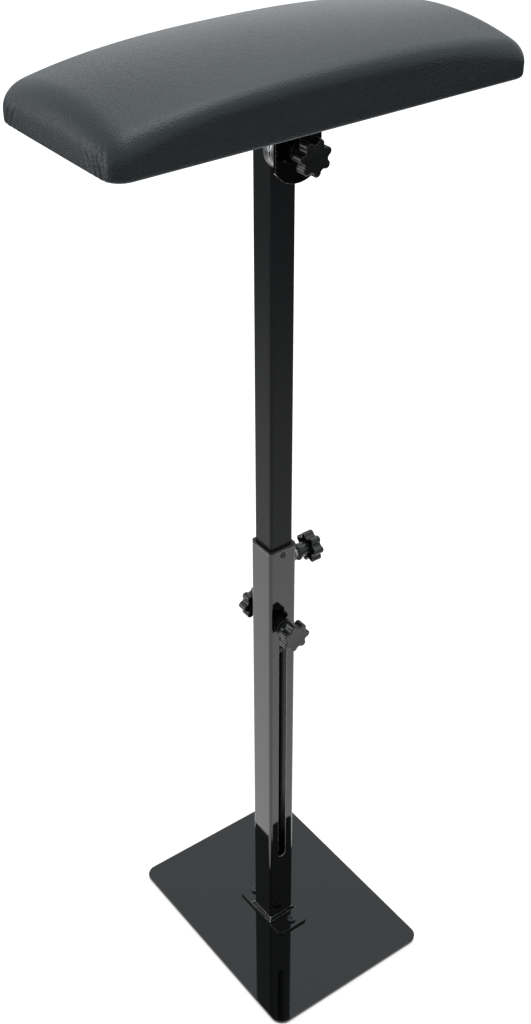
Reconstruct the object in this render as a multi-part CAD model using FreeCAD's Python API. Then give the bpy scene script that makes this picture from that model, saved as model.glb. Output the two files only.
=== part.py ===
import FreeCAD, Part
import math
import os

# Tattoo arm rest stand. Millimetres, +Z up, +X along the pad, -Y towards the front knob.
# The origin lies on the floor, under the axis of the column.

# Base plate and its feet
base_width = 192.0
base_depth = 258.0
base_thick = 3.0
base_corner = 13.0
base_offset = 7.5
foot_radius = 10.0
foot_height = 2.0
foot_inset = 22.0

# Flange, weld and screws at the foot of the column
flange_width = 38.0
flange_depth = 76.0
flange_thick = 3.0
flange_corner = 5.0
weld_leg = 3.0
flange_screw_x = 3.4
flange_screw_y = 28.5
flange_screw_radius = 2.5
flange_screw_head_radius = 4.75
flange_screw_head_height = 2.75
flange_screw_socket = 3.0
flange_screw_socket_depth = 1.5

# Square tubes
outer_width = 30.0
outer_wall = 1.5
outer_corner = 3.0
outer_length = 500.0
inner_width = 25.0
inner_wall = 1.5
inner_corner = 2.5
inner_length = 520.0
slot_width = 9.2

# Places along the column, with the mast at the height shown
snap_boss_below_mouth = 5.0
clamp_below_mouth = 21.5
slot_knob_below_mouth = 89.5
slot_start_above_foot = 97.3
mast_end_below_slot_knob = 27.5
axis_below_mast_top = 16.0

# Room left in the slot above the height shown
mast_up = 5.0

# Guide collar, glide, cap and cross block
collar_lip = 3.0
collar_depth = 40.0
snap_boss_radius = 3.5
snap_boss_proud = 0.3
glide_flange = 5.0
glide_insert = 15.0
glide_clearance = 0.2
cap_lip = 2.0
cap_insert = 9.0
cross_block_width = 18.0
cross_block_height = 18.0

# M8 threads, nut and bolt
thread_radius = 4.0
hex_across_flats = 13.0
nut_height = 6.5
bolt_head_height = 5.3
bolt_length = 60.0

# Star knobs with their captive washers
knob_lobes = 7
knob_radius = 15.2
knob_lobe_radius = 3.6
knob_valley_radius = 11.6
knob_head = 10.0
knob_wall = 1.8
knob_face = 2.2
knob_boss_radius = 7.0
knob_boss = 10.0
knob_washer_radius = 8.5
knob_washer_thick = 2.0
stud_grip = 14.0
stud_end_gap = 1.0
clamp_stand_off = 4.5
insert_across_flats = 10.0
tilt_bore_depth = 17.0
front_knob_turn = -1.0
rear_knob_turn = 181.0
clamp_knob_turn = 110.0
tilt_knob_turn = 18.4

# Toothed tilt joint
disc_radius = 20.0
disc_thick = 8.0
tooth_count = 20
tooth_height = 1.2
tooth_inner_radius = 11.5
tooth_tip_gap = 0.25

# Bent bracket under the pad
bracket_width = 44.0
bracket_thick = 3.0
bracket_toe_radius = 26.0
bracket_bend_radius = 5.0
bracket_reach = 77.5
bracket_corner = 8.0
pad_screw_radius = 2.0
pad_screw_head_radius = 4.0
pad_screw_head_height = 2.2
pad_screw_length = 11.0
pad_screw_spacing_x = 28.0
pad_screw_spacing_y = 50.0
pad_screw_edge = 11.0

# Pad
pad_length = 386.0
pad_width = 162.0
pad_corner = 15.0
pad_height = 52.0
pad_arch_radius = 1323.0
pad_end_radius = 24.0
pad_skirt_middle = 32.0
pad_skirt_end = 10.0
pad_above_axis = 32.3
board_thick = 9.0
cover_thick = 1.2
cover_rim = 20.0
staple_crown = 10.0
staple_leg = 5.0
staple_wire = 0.7
staple_inset = 12.0
staple_count_along = 6
staple_count_across = 3

# Fits
sliding_fit = 0.1
running_fit = 0.06
hole_clearance = 0.2
seat_clearance = 0.05
overrun = 2.0

# Shares
pad_crown_share = 0.32
pad_arch_station_shares = (0.0, 0.3, 0.58, 0.82, 1.0)
pad_end_turn_shares = (0.36, 0.62, 0.84, 1.0)
staple_span_share = 0.86

# Directions
UP = FreeCAD.Vector(0, 0, 1)
RIGHT = FreeCAD.Vector(1, 0, 0)
REAR = FreeCAD.Vector(0, 1, 0)
FRONT = FreeCAD.Vector(0, -1, 0)

# Places that follow from the sizes above
base_top = foot_height + base_thick
tube_foot = base_top + flange_thick
tube_mouth = tube_foot + outer_length
outer_half = outer_width / 2
outer_bore = outer_width - 2 * outer_wall
inner_half = inner_width / 2
inner_bore = inner_width - 2 * inner_wall
snap_boss_height = tube_mouth - snap_boss_below_mouth
clamp_height = tube_mouth - clamp_below_mouth
slot_knob_height = tube_mouth - slot_knob_below_mouth
mast_bottom = slot_knob_height - mast_end_below_slot_knob
mast_top = mast_bottom + inner_length
tilt_height = mast_top - axis_below_mast_top
slot_half = slot_width / 2
slot_top_centre = slot_knob_height + mast_up
slot_bottom_centre = tube_foot + slot_start_above_foot
washer_outer = knob_washer_thick + knob_boss
clamp_seat = outer_half + nut_height + clamp_stand_off
disc_pair = 2 * disc_thick
bracket_back = -inner_half - disc_pair
bracket_front = bracket_back - bracket_thick
pad_bottom = tilt_height + pad_above_axis
board_bottom = pad_bottom + cover_thick
board_top = board_bottom + board_thick
bracket_top = board_bottom


def point(x, y, z):
    return FreeCAD.Vector(x, y, z)


def cylinder(radius, length, start, direction):
    return Part.makeCylinder(radius, length, start, direction)


def rounded_outline(width, depth, corner, x, y, z):
    """A rectangle with round corners in a level plane, centred at x, y."""
    half_x = width / 2
    half_y = depth / 2
    edges = []
    centres = ((1, 1), (-1, 1), (-1, -1), (1, -1))
    for turn, (side_x, side_y) in enumerate(centres):
        centre = point(x + side_x * (half_x - corner), y + side_y * (half_y - corner), z)
        start = turn * math.pi / 2
        circle = Part.Circle(centre, UP, corner)
        edges.append(Part.Arc(circle, start, start + math.pi / 2).toShape())
    wire_edges = []
    for index, arc in enumerate(edges):
        following = edges[(index + 1) % len(edges)]
        wire_edges.append(arc)
        wire_edges.append(Part.makeLine(arc.Vertexes[-1].Point, following.Vertexes[0].Point))
    return Part.Wire(wire_edges)


def rounded_prism(width, depth, corner, bottom, height, x=0, y=0):
    outline = rounded_outline(width, depth, corner, x, y, bottom)
    return Part.Face(outline).extrude(UP * height)


def square_outline(width, z):
    half = width / 2
    corners = [(-half, -half), (half, -half), (half, half), (-half, half), (-half, -half)]
    return Part.makePolygon([point(x, y, z) for x, y in corners])


def square_tube(width, wall, corner, bottom, length):
    outside = rounded_prism(width, width, corner, bottom, length)
    bore = width - 2 * wall
    inside = rounded_prism(bore, bore, corner - wall, bottom - overrun, length + 2 * overrun)
    return outside.cut(inside)


def hex_prism(across_flats, height):
    """A six-sided prism that stands on the origin."""
    radius = across_flats / 2 / math.cos(math.pi / 6)
    corners = []
    for index in range(7):
        angle = index * math.pi / 3
        corners.append(point(radius * math.cos(angle), radius * math.sin(angle), 0))
    return Part.Face(Part.makePolygon(corners)).extrude(UP * height)


def aimed(shape, outward, seat, phase=0):
    """Turns a shape about +Z, swings +Z to the outward direction and moves it to the seat."""
    if outward == RIGHT:
        turn = FreeCAD.Rotation(REAR, 90)
    elif outward == FRONT:
        turn = FreeCAD.Rotation(RIGHT, 90)
    else:
        turn = FreeCAD.Rotation(RIGHT, -90)
    swing = FreeCAD.Placement(seat, turn.multiply(FreeCAD.Rotation(UP, phase)))
    moved = shape.copy()
    moved.Placement = swing.multiply(moved.Placement)
    return moved


# Base plate, feet, flange, weld and screws
def flange_screw_places():
    return ((flange_screw_x, -flange_screw_y), (-flange_screw_x, flange_screw_y))


def base_plate():
    plate = rounded_prism(base_width, base_depth, base_corner, foot_height, base_thick, base_offset)
    for x, y in flange_screw_places():
        radius = flange_screw_radius + seat_clearance
        plate = plate.cut(cylinder(radius, base_thick + overrun, point(x, y, foot_height), UP))
    return plate


def rubber_feet():
    feet = []
    reach_x = base_width / 2 - foot_inset
    reach_y = base_depth / 2 - foot_inset
    for side_x in (-1, 1):
        for side_y in (-1, 1):
            place = point(base_offset + side_x * reach_x, side_y * reach_y, 0)
            feet.append(cylinder(foot_radius, foot_height, place, UP))
    return Part.makeCompound(feet)


def foot_flange():
    plate = rounded_prism(flange_width, flange_depth, flange_corner, base_top, flange_thick)
    for x, y in flange_screw_places():
        radius = flange_screw_radius + hole_clearance
        plate = plate.cut(cylinder(radius, flange_thick + overrun, point(x, y, base_top), UP))
    return plate


def foot_welds():
    """A fillet of weld round the tube, mitred at its corners."""
    lower = square_outline(outer_width + 2 * weld_leg, tube_foot)
    upper = square_outline(outer_width + 2 * seat_clearance, tube_foot + weld_leg)
    bead = Part.makeLoft([lower, upper], True, True)
    tube = rounded_prism(outer_width, outer_width, outer_corner, tube_foot - overrun, weld_leg + 2 * overrun)
    return bead.cut(tube)


def flange_screws():
    """Low round heads with hexagon sockets over plain shanks."""
    screws = []
    height = flange_screw_head_height
    for x, y in flange_screw_places():
        seat = point(x, y, tube_foot)
        head = cylinder(flange_screw_head_radius, height, seat, UP)
        length = flange_thick + base_thick
        shank = cylinder(flange_screw_radius, length, point(x, y, foot_height), UP)
        socket = hex_prism(flange_screw_socket, flange_screw_socket_depth + overrun)
        socket.translate(seat + UP * (height - flange_screw_socket_depth))
        screws.append(head.fuse(shank).cut(socket))
    return Part.makeCompound(screws)


# Outer tube with its collar and clamp nut
def slot_cutter():
    """The long slot, cut through the front and rear walls."""
    through = outer_width + 2 * overrun
    start = -outer_half - overrun
    ends = [point(0, start, slot_bottom_centre), point(0, start, slot_top_centre)]
    height = slot_top_centre - slot_bottom_centre
    middle = Part.makeBox(slot_width, through, height, point(-slot_half, start, slot_bottom_centre))
    for end in ends:
        middle = middle.fuse(cylinder(slot_half, through, end, REAR))
    return middle


def outer_tube():
    tube = square_tube(outer_width, outer_wall, outer_corner, tube_foot, outer_length)
    tube = tube.cut(slot_cutter())
    boss_start = point(0, -outer_half - overrun, snap_boss_height)
    boss_radius = snap_boss_radius + seat_clearance
    tube = tube.cut(cylinder(boss_radius, outer_width + 2 * overrun, boss_start, REAR))
    stud_start = point(0, 0, clamp_height)
    return tube.cut(cylinder(thread_radius + hole_clearance, outer_width, stud_start, RIGHT))


def tube_collar():
    """A thin sleeve in the tube's mouth, with a lip on top and a snap boss front and rear."""
    sleeve_width = outer_bore - 2 * seat_clearance
    sleeve_corner = outer_corner - outer_wall
    sleeve_bottom = tube_mouth - collar_depth
    sleeve = rounded_prism(sleeve_width, sleeve_width, sleeve_corner, sleeve_bottom, collar_depth)
    lip = rounded_prism(outer_width, outer_width, outer_corner, tube_mouth, collar_lip)
    collar = sleeve.fuse(lip)
    boss_reach = outer_half + snap_boss_proud
    boss_start = point(0, -boss_reach, snap_boss_height)
    collar = collar.fuse(cylinder(snap_boss_radius, 2 * boss_reach, boss_start, REAR))
    bore = inner_width + 2 * sliding_fit
    bore_corner = inner_corner + sliding_fit
    bore_length = collar_depth + collar_lip + 2 * overrun
    collar = collar.cut(rounded_prism(bore, bore, bore_corner, sleeve_bottom - overrun, bore_length))
    stud_start = point(0, 0, clamp_height)
    collar = collar.cut(cylinder(thread_radius + hole_clearance, outer_width, stud_start, RIGHT))
    return collar.removeSplitter()


def clamp_nut():
    nut = hex_prism(hex_across_flats, nut_height)
    nut = nut.cut(Part.makeCylinder(thread_radius + running_fit, nut_height))
    return aimed(nut, RIGHT, point(outer_half, 0, clamp_height))


# Mast: inner tube with its plugs, cross block and tilt bolt
def inner_tube():
    tube = square_tube(inner_width, inner_wall, inner_corner, mast_bottom, inner_length)
    length = inner_width + 2 * overrun
    for height in (slot_knob_height, tilt_height):
        start = point(0, -inner_half - overrun, height)
        tube = tube.cut(cylinder(thread_radius + hole_clearance, length, start, REAR))
    return tube


def tube_plug(bottom, height):
    """A plug that fits the inner tube's bore."""
    width = inner_bore - 2 * seat_clearance
    corner = inner_corner - inner_wall
    return rounded_prism(width, width, corner, bottom, height)


def mast_glide():
    width = outer_bore - 2 * glide_clearance
    corner = outer_corner - outer_wall
    bottom = mast_bottom - glide_flange
    flange = rounded_prism(width, width, corner, bottom, glide_flange)
    plug = tube_plug(mast_bottom, glide_insert)
    return flange.fuse(plug).removeSplitter()


def mast_end_cap():
    lip = rounded_prism(inner_width, inner_width, inner_corner, mast_top, cap_lip)
    plug = tube_plug(mast_top - cap_insert, cap_insert)
    return lip.fuse(plug).removeSplitter()


def threaded_cross_block():
    depth = inner_bore
    corner_place = point(-cross_block_width / 2, -depth / 2, slot_knob_height - cross_block_height / 2)
    block = Part.makeBox(cross_block_width, depth, cross_block_height, corner_place)
    start = point(0, -depth / 2, slot_knob_height)
    return block.cut(cylinder(thread_radius + running_fit, depth, start, REAR))


def tilt_bolt():
    """A hexagon bolt from the rear of the tube, through the joint and into the tilt knob."""
    seat = point(0, inner_half, tilt_height)
    head = aimed(hex_prism(hex_across_flats, bolt_head_height), REAR, seat)
    return head.fuse(cylinder(thread_radius, bolt_length, seat, FRONT))


# Toothed tilt joint: radial teeth whose ridges rise with the radius, as on a face spline
def tooth(angle):
    """One V tooth: four flat sides that meet at the disc's centre, cut off near the centre."""
    far = disc_radius + overrun
    near = tooth_inner_radius - overrun
    half_pitch = math.pi / tooth_count
    corners = []
    for radius in (near, far):
        half_width = radius * math.tan(half_pitch)
        height = tooth_height * radius / disc_radius
        corners.append((
            point(radius, -half_width, 0),
            point(radius, half_width, 0),
            point(radius, 0, height),
        ))
    inner, outer = corners
    sides = [
        (inner[0], inner[1], inner[2]),
        (outer[0], outer[2], outer[1]),
        (inner[0], outer[0], outer[1], inner[1]),
        (inner[1], outer[1], outer[2], inner[2]),
        (inner[2], outer[2], outer[0], inner[0]),
    ]
    faces = [Part.Face(Part.makePolygon(list(side) + [side[0]])) for side in sides]
    wedge = Part.makeSolid(Part.makeShell(faces))
    wedge.rotate(point(0, 0, 0), UP, angle)
    return wedge


def toothed_disc(phase, bore_radius):
    """A disc that stands on the origin, with its teeth at the upper face's rim."""
    root = disc_thick - tooth_height - tooth_tip_gap / 2
    body = Part.makeCylinder(disc_radius, root)
    ring = Part.makeCylinder(disc_radius, 2 * tooth_height)
    ring = ring.cut(Part.makeCylinder(tooth_inner_radius, 2 * tooth_height))
    teeth = [tooth(phase + index * 360 / tooth_count) for index in range(tooth_count)]
    crown = teeth[0].fuse(teeth[1:]).common(ring)
    crown.translate(UP * root)
    disc = body.fuse(crown).removeSplitter()
    return disc.cut(Part.makeCylinder(bore_radius, disc_thick))


def fixed_toothed_disc():
    disc = toothed_disc(0, thread_radius + hole_clearance)
    return aimed(disc, FRONT, point(0, -inner_half, tilt_height))


def moving_toothed_disc():
    half_pitch = 180 / tooth_count
    disc = toothed_disc(half_pitch, thread_radius + running_fit)
    return aimed(disc, REAR, point(0, bracket_back, tilt_height))


# Bracket, board and screws
def pad_screw_places():
    last = bracket_front + bracket_reach - pad_screw_edge
    places = []
    for y in (last - pad_screw_spacing_y, last):
        for side in (-1, 1):
            places.append((side * pad_screw_spacing_x / 2, y))
    return places


def bracket_leg(top):
    """The upright: straight sides down to a round toe about the tilt axis."""
    half = bracket_width / 2
    toe_drop = math.sqrt(bracket_toe_radius ** 2 - half ** 2)
    toe_z = tilt_height - toe_drop
    left_top = point(-half, bracket_front, top)
    left_toe = point(-half, bracket_front, toe_z)
    lowest = point(0, bracket_front, tilt_height - bracket_toe_radius)
    right_toe = point(half, bracket_front, toe_z)
    right_top = point(half, bracket_front, top)
    outline = Part.Wire([
        Part.makeLine(left_top, left_toe),
        Part.Arc(left_toe, lowest, right_toe).toShape(),
        Part.makeLine(right_toe, right_top),
        Part.makeLine(right_top, left_top),
    ])
    return Part.Face(outline).extrude(REAR * bracket_thick)


def tilt_bracket():
    half = bracket_width / 2
    bend_z = bracket_top - bracket_bend_radius
    bend_y = bracket_front + bracket_bend_radius
    leg = bracket_leg(bend_z)
    turn_start = point(-half, bend_y, bend_z)
    turn = cylinder(bracket_bend_radius, bracket_width, turn_start, RIGHT)
    turn = turn.cut(cylinder(bracket_bend_radius - bracket_thick, bracket_width, turn_start, RIGHT))
    quarter_start = point(-half, bracket_front, bend_z)
    quarter = Part.makeBox(bracket_width, bracket_bend_radius, bracket_bend_radius, quarter_start)
    flange_z = bracket_top - bracket_thick
    flange_length = bracket_reach - bracket_bend_radius
    flange = rounded_prism(
        bracket_width, 2 * flange_length, bracket_corner, flange_z, bracket_thick, 0, bend_y,
    )
    behind_bend = Part.makeBox(bracket_width, flange_length, bracket_thick, point(-half, bend_y, flange_z))
    bracket = leg.fuse([turn.common(quarter), flange.common(behind_bend)]).removeSplitter()
    bolt_start = point(0, bracket_front, tilt_height)
    bracket = bracket.cut(cylinder(thread_radius + running_fit, bracket_thick, bolt_start, REAR))
    for x, y in pad_screw_places():
        radius = pad_screw_radius + hole_clearance
        bracket = bracket.cut(cylinder(radius, bracket_thick, point(x, y, flange_z), UP))
    return bracket


def pad_layer(inside, bottom, height):
    """A level slice of the space inside the cover."""
    corner_place = point(-pad_length / 2, -pad_width / 2, bottom)
    return inside.common(Part.makeBox(pad_length, pad_width, height, corner_place))


def pad_board(inside):
    """Plywood with pilot holes for the four screws."""
    board = pad_layer(inside, board_bottom, board_thick)
    for x, y in pad_screw_places():
        radius = pad_screw_radius + seat_clearance
        board = board.cut(cylinder(radius, pad_screw_length - bracket_thick, point(x, y, board_bottom), UP))
    return board


def pad_screws():
    screws = []
    seat_z = bracket_top - bracket_thick
    for x, y in pad_screw_places():
        seat = point(x, y, seat_z)
        head = cylinder(pad_screw_head_radius, pad_screw_head_height, seat, UP * -1)
        screws.append(head.fuse(cylinder(pad_screw_radius, pad_screw_length, seat, UP)))
    return Part.makeCompound(screws)


# Pad: a loft through upright sections, crowned across and arched along its length
def pad_stations(inset):
    """Distance along the pad and height of the middle line at each section of one half."""
    end_centre = pad_length / 2 - pad_end_radius
    slope = math.asin(end_centre / (pad_arch_radius + pad_end_radius))
    join = end_centre + pad_end_radius * math.sin(slope)
    stations = []
    for share in pad_arch_station_shares:
        x = join * share
        drop = pad_arch_radius - math.sqrt(pad_arch_radius ** 2 - x ** 2)
        stations.append((x, pad_height - drop - inset))
    join_height = stations[-1][1] + inset
    centre_height = join_height - pad_end_radius * math.cos(slope)
    radius = pad_end_radius - inset
    for share in pad_end_turn_shares:
        turn = slope + (math.pi / 2 - slope) * share
        stations.append((end_centre + radius * math.sin(turn), centre_height + radius * math.cos(turn)))
    return stations


def pad_half_width(x, inset):
    """Half the pad's width, drawn in round the corners of its plan."""
    straight = pad_length / 2 - pad_corner
    past = max(x - straight, 0)
    radius = pad_corner - inset
    return pad_width / 2 - pad_corner + math.sqrt(max(radius ** 2 - past ** 2, 0))


def pad_section(x, height, inset):
    """Flat bottom, upright skirts, round shoulders and one crown arc between them."""
    share = min(abs(x) / (pad_length / 2), 1)
    skirt = pad_skirt_end + (pad_skirt_middle - pad_skirt_end) * (1 - share ** 3)
    half = pad_half_width(abs(x), inset)
    rise = height + inset - skirt
    shoulder = rise * (1 - pad_crown_share) - inset
    middle = half - shoulder
    climb = height - skirt
    crown_radius = (middle ** 2 + climb ** 2 - shoulder ** 2) / (2 * (climb - shoulder))
    lean = math.atan2(skirt - height + crown_radius, middle)
    touch_y = middle + shoulder * math.cos(lean)
    touch_z = skirt + shoulder * math.sin(lean)
    halfway = lean / 2
    bulge_y = middle + shoulder * math.cos(halfway)
    bulge_z = skirt + shoulder * math.sin(halfway)

    def at(y, z):
        return point(x, y, pad_bottom + z)

    return Part.Wire([
        Part.makeLine(at(-half, inset), at(half, inset)),
        Part.makeLine(at(half, inset), at(half, skirt)),
        Part.Arc(at(half, skirt), at(bulge_y, bulge_z), at(touch_y, touch_z)).toShape(),
        Part.Arc(at(touch_y, touch_z), at(0, height), at(-touch_y, touch_z)).toShape(),
        Part.Arc(at(-touch_y, touch_z), at(-bulge_y, bulge_z), at(-half, skirt)).toShape(),
        Part.makeLine(at(-half, skirt), at(-half, inset)),
    ])


def pad_body(inset):
    right = pad_stations(inset)
    left = [(-x, height) for x, height in reversed(right[1:])]
    sections = [pad_section(x, height, inset) for x, height in left + right]
    return Part.makeLoft(sections, True, True)


def pad_cover(outside, inside):
    """The skin, turned in under the board as a flat rim."""
    opening_width = pad_length - 2 * cover_rim
    opening_depth = pad_width - 2 * cover_rim
    bottom = pad_bottom - overrun
    opening = rounded_prism(opening_width, opening_depth, pad_corner, bottom, cover_thick + overrun)
    return outside.cut(inside).cut(opening)


def staple(x, y, along_x):
    """A crown that lies on the turned-in rim, with two legs up into the board."""
    half = staple_crown / 2
    bottom = pad_bottom - staple_wire
    leg_height = staple_wire + cover_thick + staple_leg
    crown = Part.makeBox(staple_crown, staple_wire, staple_wire, point(-half, 0, bottom))
    near = Part.makeBox(staple_wire, staple_wire, leg_height, point(-half, 0, bottom))
    far = Part.makeBox(staple_wire, staple_wire, leg_height, point(half - staple_wire, 0, bottom))
    wire = crown.fuse([near, far]).removeSplitter()
    if not along_x:
        wire.rotate(point(0, 0, 0), UP, 90)
    wire.translate(point(x, y, 0))
    return wire


def spread(span, count):
    """Evenly spaced places across a span centred on zero."""
    return [span * (index / (count - 1) - 1 / 2) for index in range(count)]


def cover_staples():
    staples = []
    row_y = pad_width / 2 - staple_inset
    row_x = pad_length / 2 - staple_inset
    for x in spread(pad_length * staple_span_share, staple_count_along):
        staples.append(staple(x, -row_y, True))
        staples.append(staple(x, row_y, True))
    for y in spread(pad_width * staple_span_share / 2, staple_count_across):
        staples.append(staple(-row_x, y, False))
        staples.append(staple(row_x, y, False))
    return Part.makeCompound(staples)


# Star knobs, their washers, studs and the tilt knob's insert
def star_outline(inset, z):
    """Lobe arcs joined by hollow valley arcs that are tangent to them."""
    lobe_centre = knob_radius - knob_lobe_radius
    half_pitch = math.pi / knob_lobes
    spread_cosine = math.cos(half_pitch)
    valley = knob_valley_radius
    meeting = valley ** 2 + lobe_centre ** 2 - 2 * lobe_centre * valley * spread_cosine
    room = 2 * (knob_lobe_radius + lobe_centre * spread_cosine - valley)
    valley_arc = (meeting - knob_lobe_radius ** 2) / room
    valley_centre = valley + valley_arc
    reach = (knob_lobe_radius - inset) / (knob_lobe_radius + valley_arc)

    def polar(radius, angle):
        return point(radius * math.cos(angle), radius * math.sin(angle), z)

    edges = []
    for index in range(knob_lobes):
        angle = index * 2 * half_pitch
        lobe = polar(lobe_centre, angle)
        before = polar(valley_centre, angle - half_pitch)
        after = polar(valley_centre, angle + half_pitch)
        start = lobe + (before - lobe) * reach
        end = lobe + (after - lobe) * reach
        following = polar(lobe_centre, angle + 2 * half_pitch)
        next_start = following + (after - following) * reach
        tip = polar(knob_radius - inset, angle)
        hollow = polar(valley - inset, angle + half_pitch)
        edges.append(Part.Arc(start, tip, end).toShape())
        edges.append(Part.Arc(end, hollow, next_start).toShape())
    return Part.Wire(edges)


def star_knob(bore):
    """A lobed head, hollow at the back, on a round boss from which the bore is cut."""
    head = Part.Face(star_outline(0, washer_outer)).extrude(UP * knob_head)
    hollow = Part.Face(star_outline(knob_wall, washer_outer)).extrude(UP * (knob_head - knob_face))
    boss = Part.makeCylinder(knob_boss_radius, knob_boss + knob_head - knob_face)
    boss.translate(UP * knob_washer_thick)
    return head.cut(hollow).fuse(boss).removeSplitter().cut(bore)


def stud_bore():
    start = UP * knob_washer_thick
    return Part.makeCylinder(thread_radius + seat_clearance, stud_grip, start)


def insert_bore():
    """A pocket for the hexagonal insert, with room for the bolt's end beyond it."""
    pocket = hex_prism(insert_across_flats + 2 * seat_clearance, stud_grip)
    pocket = pocket.fuse(Part.makeCylinder(thread_radius + hole_clearance, tilt_bore_depth))
    pocket.translate(UP * knob_washer_thick)
    return pocket


def knob_washer():
    disc = Part.makeCylinder(knob_washer_radius, knob_washer_thick)
    return disc.cut(Part.makeCylinder(thread_radius + running_fit, knob_washer_thick))


def knob_stud(reach):
    """A stud from its inner end, through the washer, to the floor of the knob's bore."""
    return Part.makeCylinder(thread_radius, reach + knob_washer_thick + stud_grip, UP * -reach)


def tilt_knob_insert():
    insert = hex_prism(insert_across_flats, stud_grip)
    insert = insert.cut(Part.makeCylinder(thread_radius + running_fit, stud_grip))
    insert.translate(UP * knob_washer_thick)
    return insert


def knob_parts():
    """Every knob's pieces, aimed outward from its seat."""
    pieces = {}
    studded = star_knob(stud_bore())
    slot_reach = outer_half - stud_end_gap
    clamp_reach = clamp_seat - inner_half
    places = (
        ("front", FRONT, point(0, -outer_half, slot_knob_height), front_knob_turn, slot_reach),
        ("rear", REAR, point(0, outer_half, slot_knob_height), rear_knob_turn, slot_reach),
        ("clamp", RIGHT, point(clamp_seat, 0, clamp_height), clamp_knob_turn, clamp_reach),
    )
    for name, outward, seat, phase, reach in places:
        pieces[name + "_knob"] = aimed(studded, outward, seat, phase)
        pieces[name + "_stud"] = aimed(knob_stud(reach), outward, seat)
        pieces[name + "_washer"] = aimed(knob_washer(), outward, seat)
    tilt_seat = point(0, bracket_front, tilt_height)
    pieces["tilt_knob"] = aimed(star_knob(insert_bore()), FRONT, tilt_seat, tilt_knob_turn)
    pieces["tilt_knob_insert"] = aimed(tilt_knob_insert(), FRONT, tilt_seat, tilt_knob_turn)
    pieces["tilt_washer"] = aimed(knob_washer(), FRONT, tilt_seat)
    return pieces


def all_pieces():
    outside = pad_body(0)
    inside = pad_body(cover_thick)
    pieces = {
        "base_plate": base_plate(),
        "rubber_feet": rubber_feet(),
        "foot_flange": foot_flange(),
        "foot_welds": foot_welds(),
        "flange_screws": flange_screws(),
        "outer_tube": outer_tube(),
        "tube_collar": tube_collar(),
        "clamp_nut": clamp_nut(),
        "inner_tube": inner_tube(),
        "mast_glide": mast_glide(),
        "mast_end_cap": mast_end_cap(),
        "threaded_cross_block": threaded_cross_block(),
        "fixed_toothed_disc": fixed_toothed_disc(),
        "tilt_bolt": tilt_bolt(),
        "moving_toothed_disc": moving_toothed_disc(),
        "tilt_bracket": tilt_bracket(),
        "pad_board": pad_board(inside),
        "pad_screws": pad_screws(),
        "pad_foam": pad_layer(inside, board_top, pad_height),
        "pad_cover": pad_cover(outside, inside),
        "cover_staples": cover_staples(),
    }
    pieces.update(knob_parts())
    return pieces


os.makedirs("parts", exist_ok=True)
for node, shape in all_pieces().items():
    shape.exportStep("parts/" + node + ".step")
    print(node, len(shape.Solids), "solids, valid", shape.isValid(), round(shape.Volume, 1))
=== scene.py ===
import math

import bmesh
import bpy
from mathutils import Matrix, Vector, noise


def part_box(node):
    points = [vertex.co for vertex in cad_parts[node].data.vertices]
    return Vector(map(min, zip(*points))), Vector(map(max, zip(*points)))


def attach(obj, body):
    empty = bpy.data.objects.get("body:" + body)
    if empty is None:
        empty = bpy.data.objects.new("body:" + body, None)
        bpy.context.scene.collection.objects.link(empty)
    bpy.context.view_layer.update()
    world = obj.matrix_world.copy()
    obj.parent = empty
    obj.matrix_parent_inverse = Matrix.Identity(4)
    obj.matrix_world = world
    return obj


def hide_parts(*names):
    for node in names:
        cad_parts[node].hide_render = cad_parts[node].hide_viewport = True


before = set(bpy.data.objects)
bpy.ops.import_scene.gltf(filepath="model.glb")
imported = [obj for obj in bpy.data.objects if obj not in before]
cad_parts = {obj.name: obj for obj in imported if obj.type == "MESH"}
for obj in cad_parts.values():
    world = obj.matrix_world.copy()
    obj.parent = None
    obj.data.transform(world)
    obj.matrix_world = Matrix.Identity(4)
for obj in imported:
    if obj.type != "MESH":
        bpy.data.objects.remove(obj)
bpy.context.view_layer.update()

# Base plate: 3 mm steel sheet, laser cut with round corners and powder coated in gloss black.
# The coat flows out almost flat in the oven, so the plate mirrors the column that stands on it.
# It lies on four rubber feet and carries the column's flange.

MM = 0.001


def linear(code):
    """An sRGB hex colour as the linear RGBA that a shader socket takes."""
    shares = [int(code[place:place + 2], 16) / 255 for place in (1, 3, 5)]
    return [v / 12.92 if v <= 0.04045 else ((v + 0.055) / 1.055) ** 2.4 for v in shares] + [1.0]


def add_node(finish, kind, settings, inputs):
    """Adds one node to a finish, sets it, and links or fills its sockets."""
    tree = finish.node_tree
    node = tree.nodes.new(kind)
    for name, value in settings.items():
        setattr(node, name, value)
    for socket, value in inputs.items():
        if isinstance(value, bpy.types.NodeSocket):
            tree.links.new(value, node.inputs[socket])
        else:
            node.inputs[socket].default_value = value
    return node


def new_finish(name):
    """An empty material for one real finish."""
    finish = bpy.data.materials.new(name)
    finish.use_nodes = True
    finish.node_tree.nodes.clear()
    return finish


def finish_surface(finish, inputs):
    """Closes a finish with one surface shader."""
    shader = add_node(finish, "ShaderNodeBsdfPrincipled", {}, inputs)
    add_node(finish, "ShaderNodeOutputMaterial", {}, {"Surface": shader.outputs["BSDF"]})
    return finish


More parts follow.
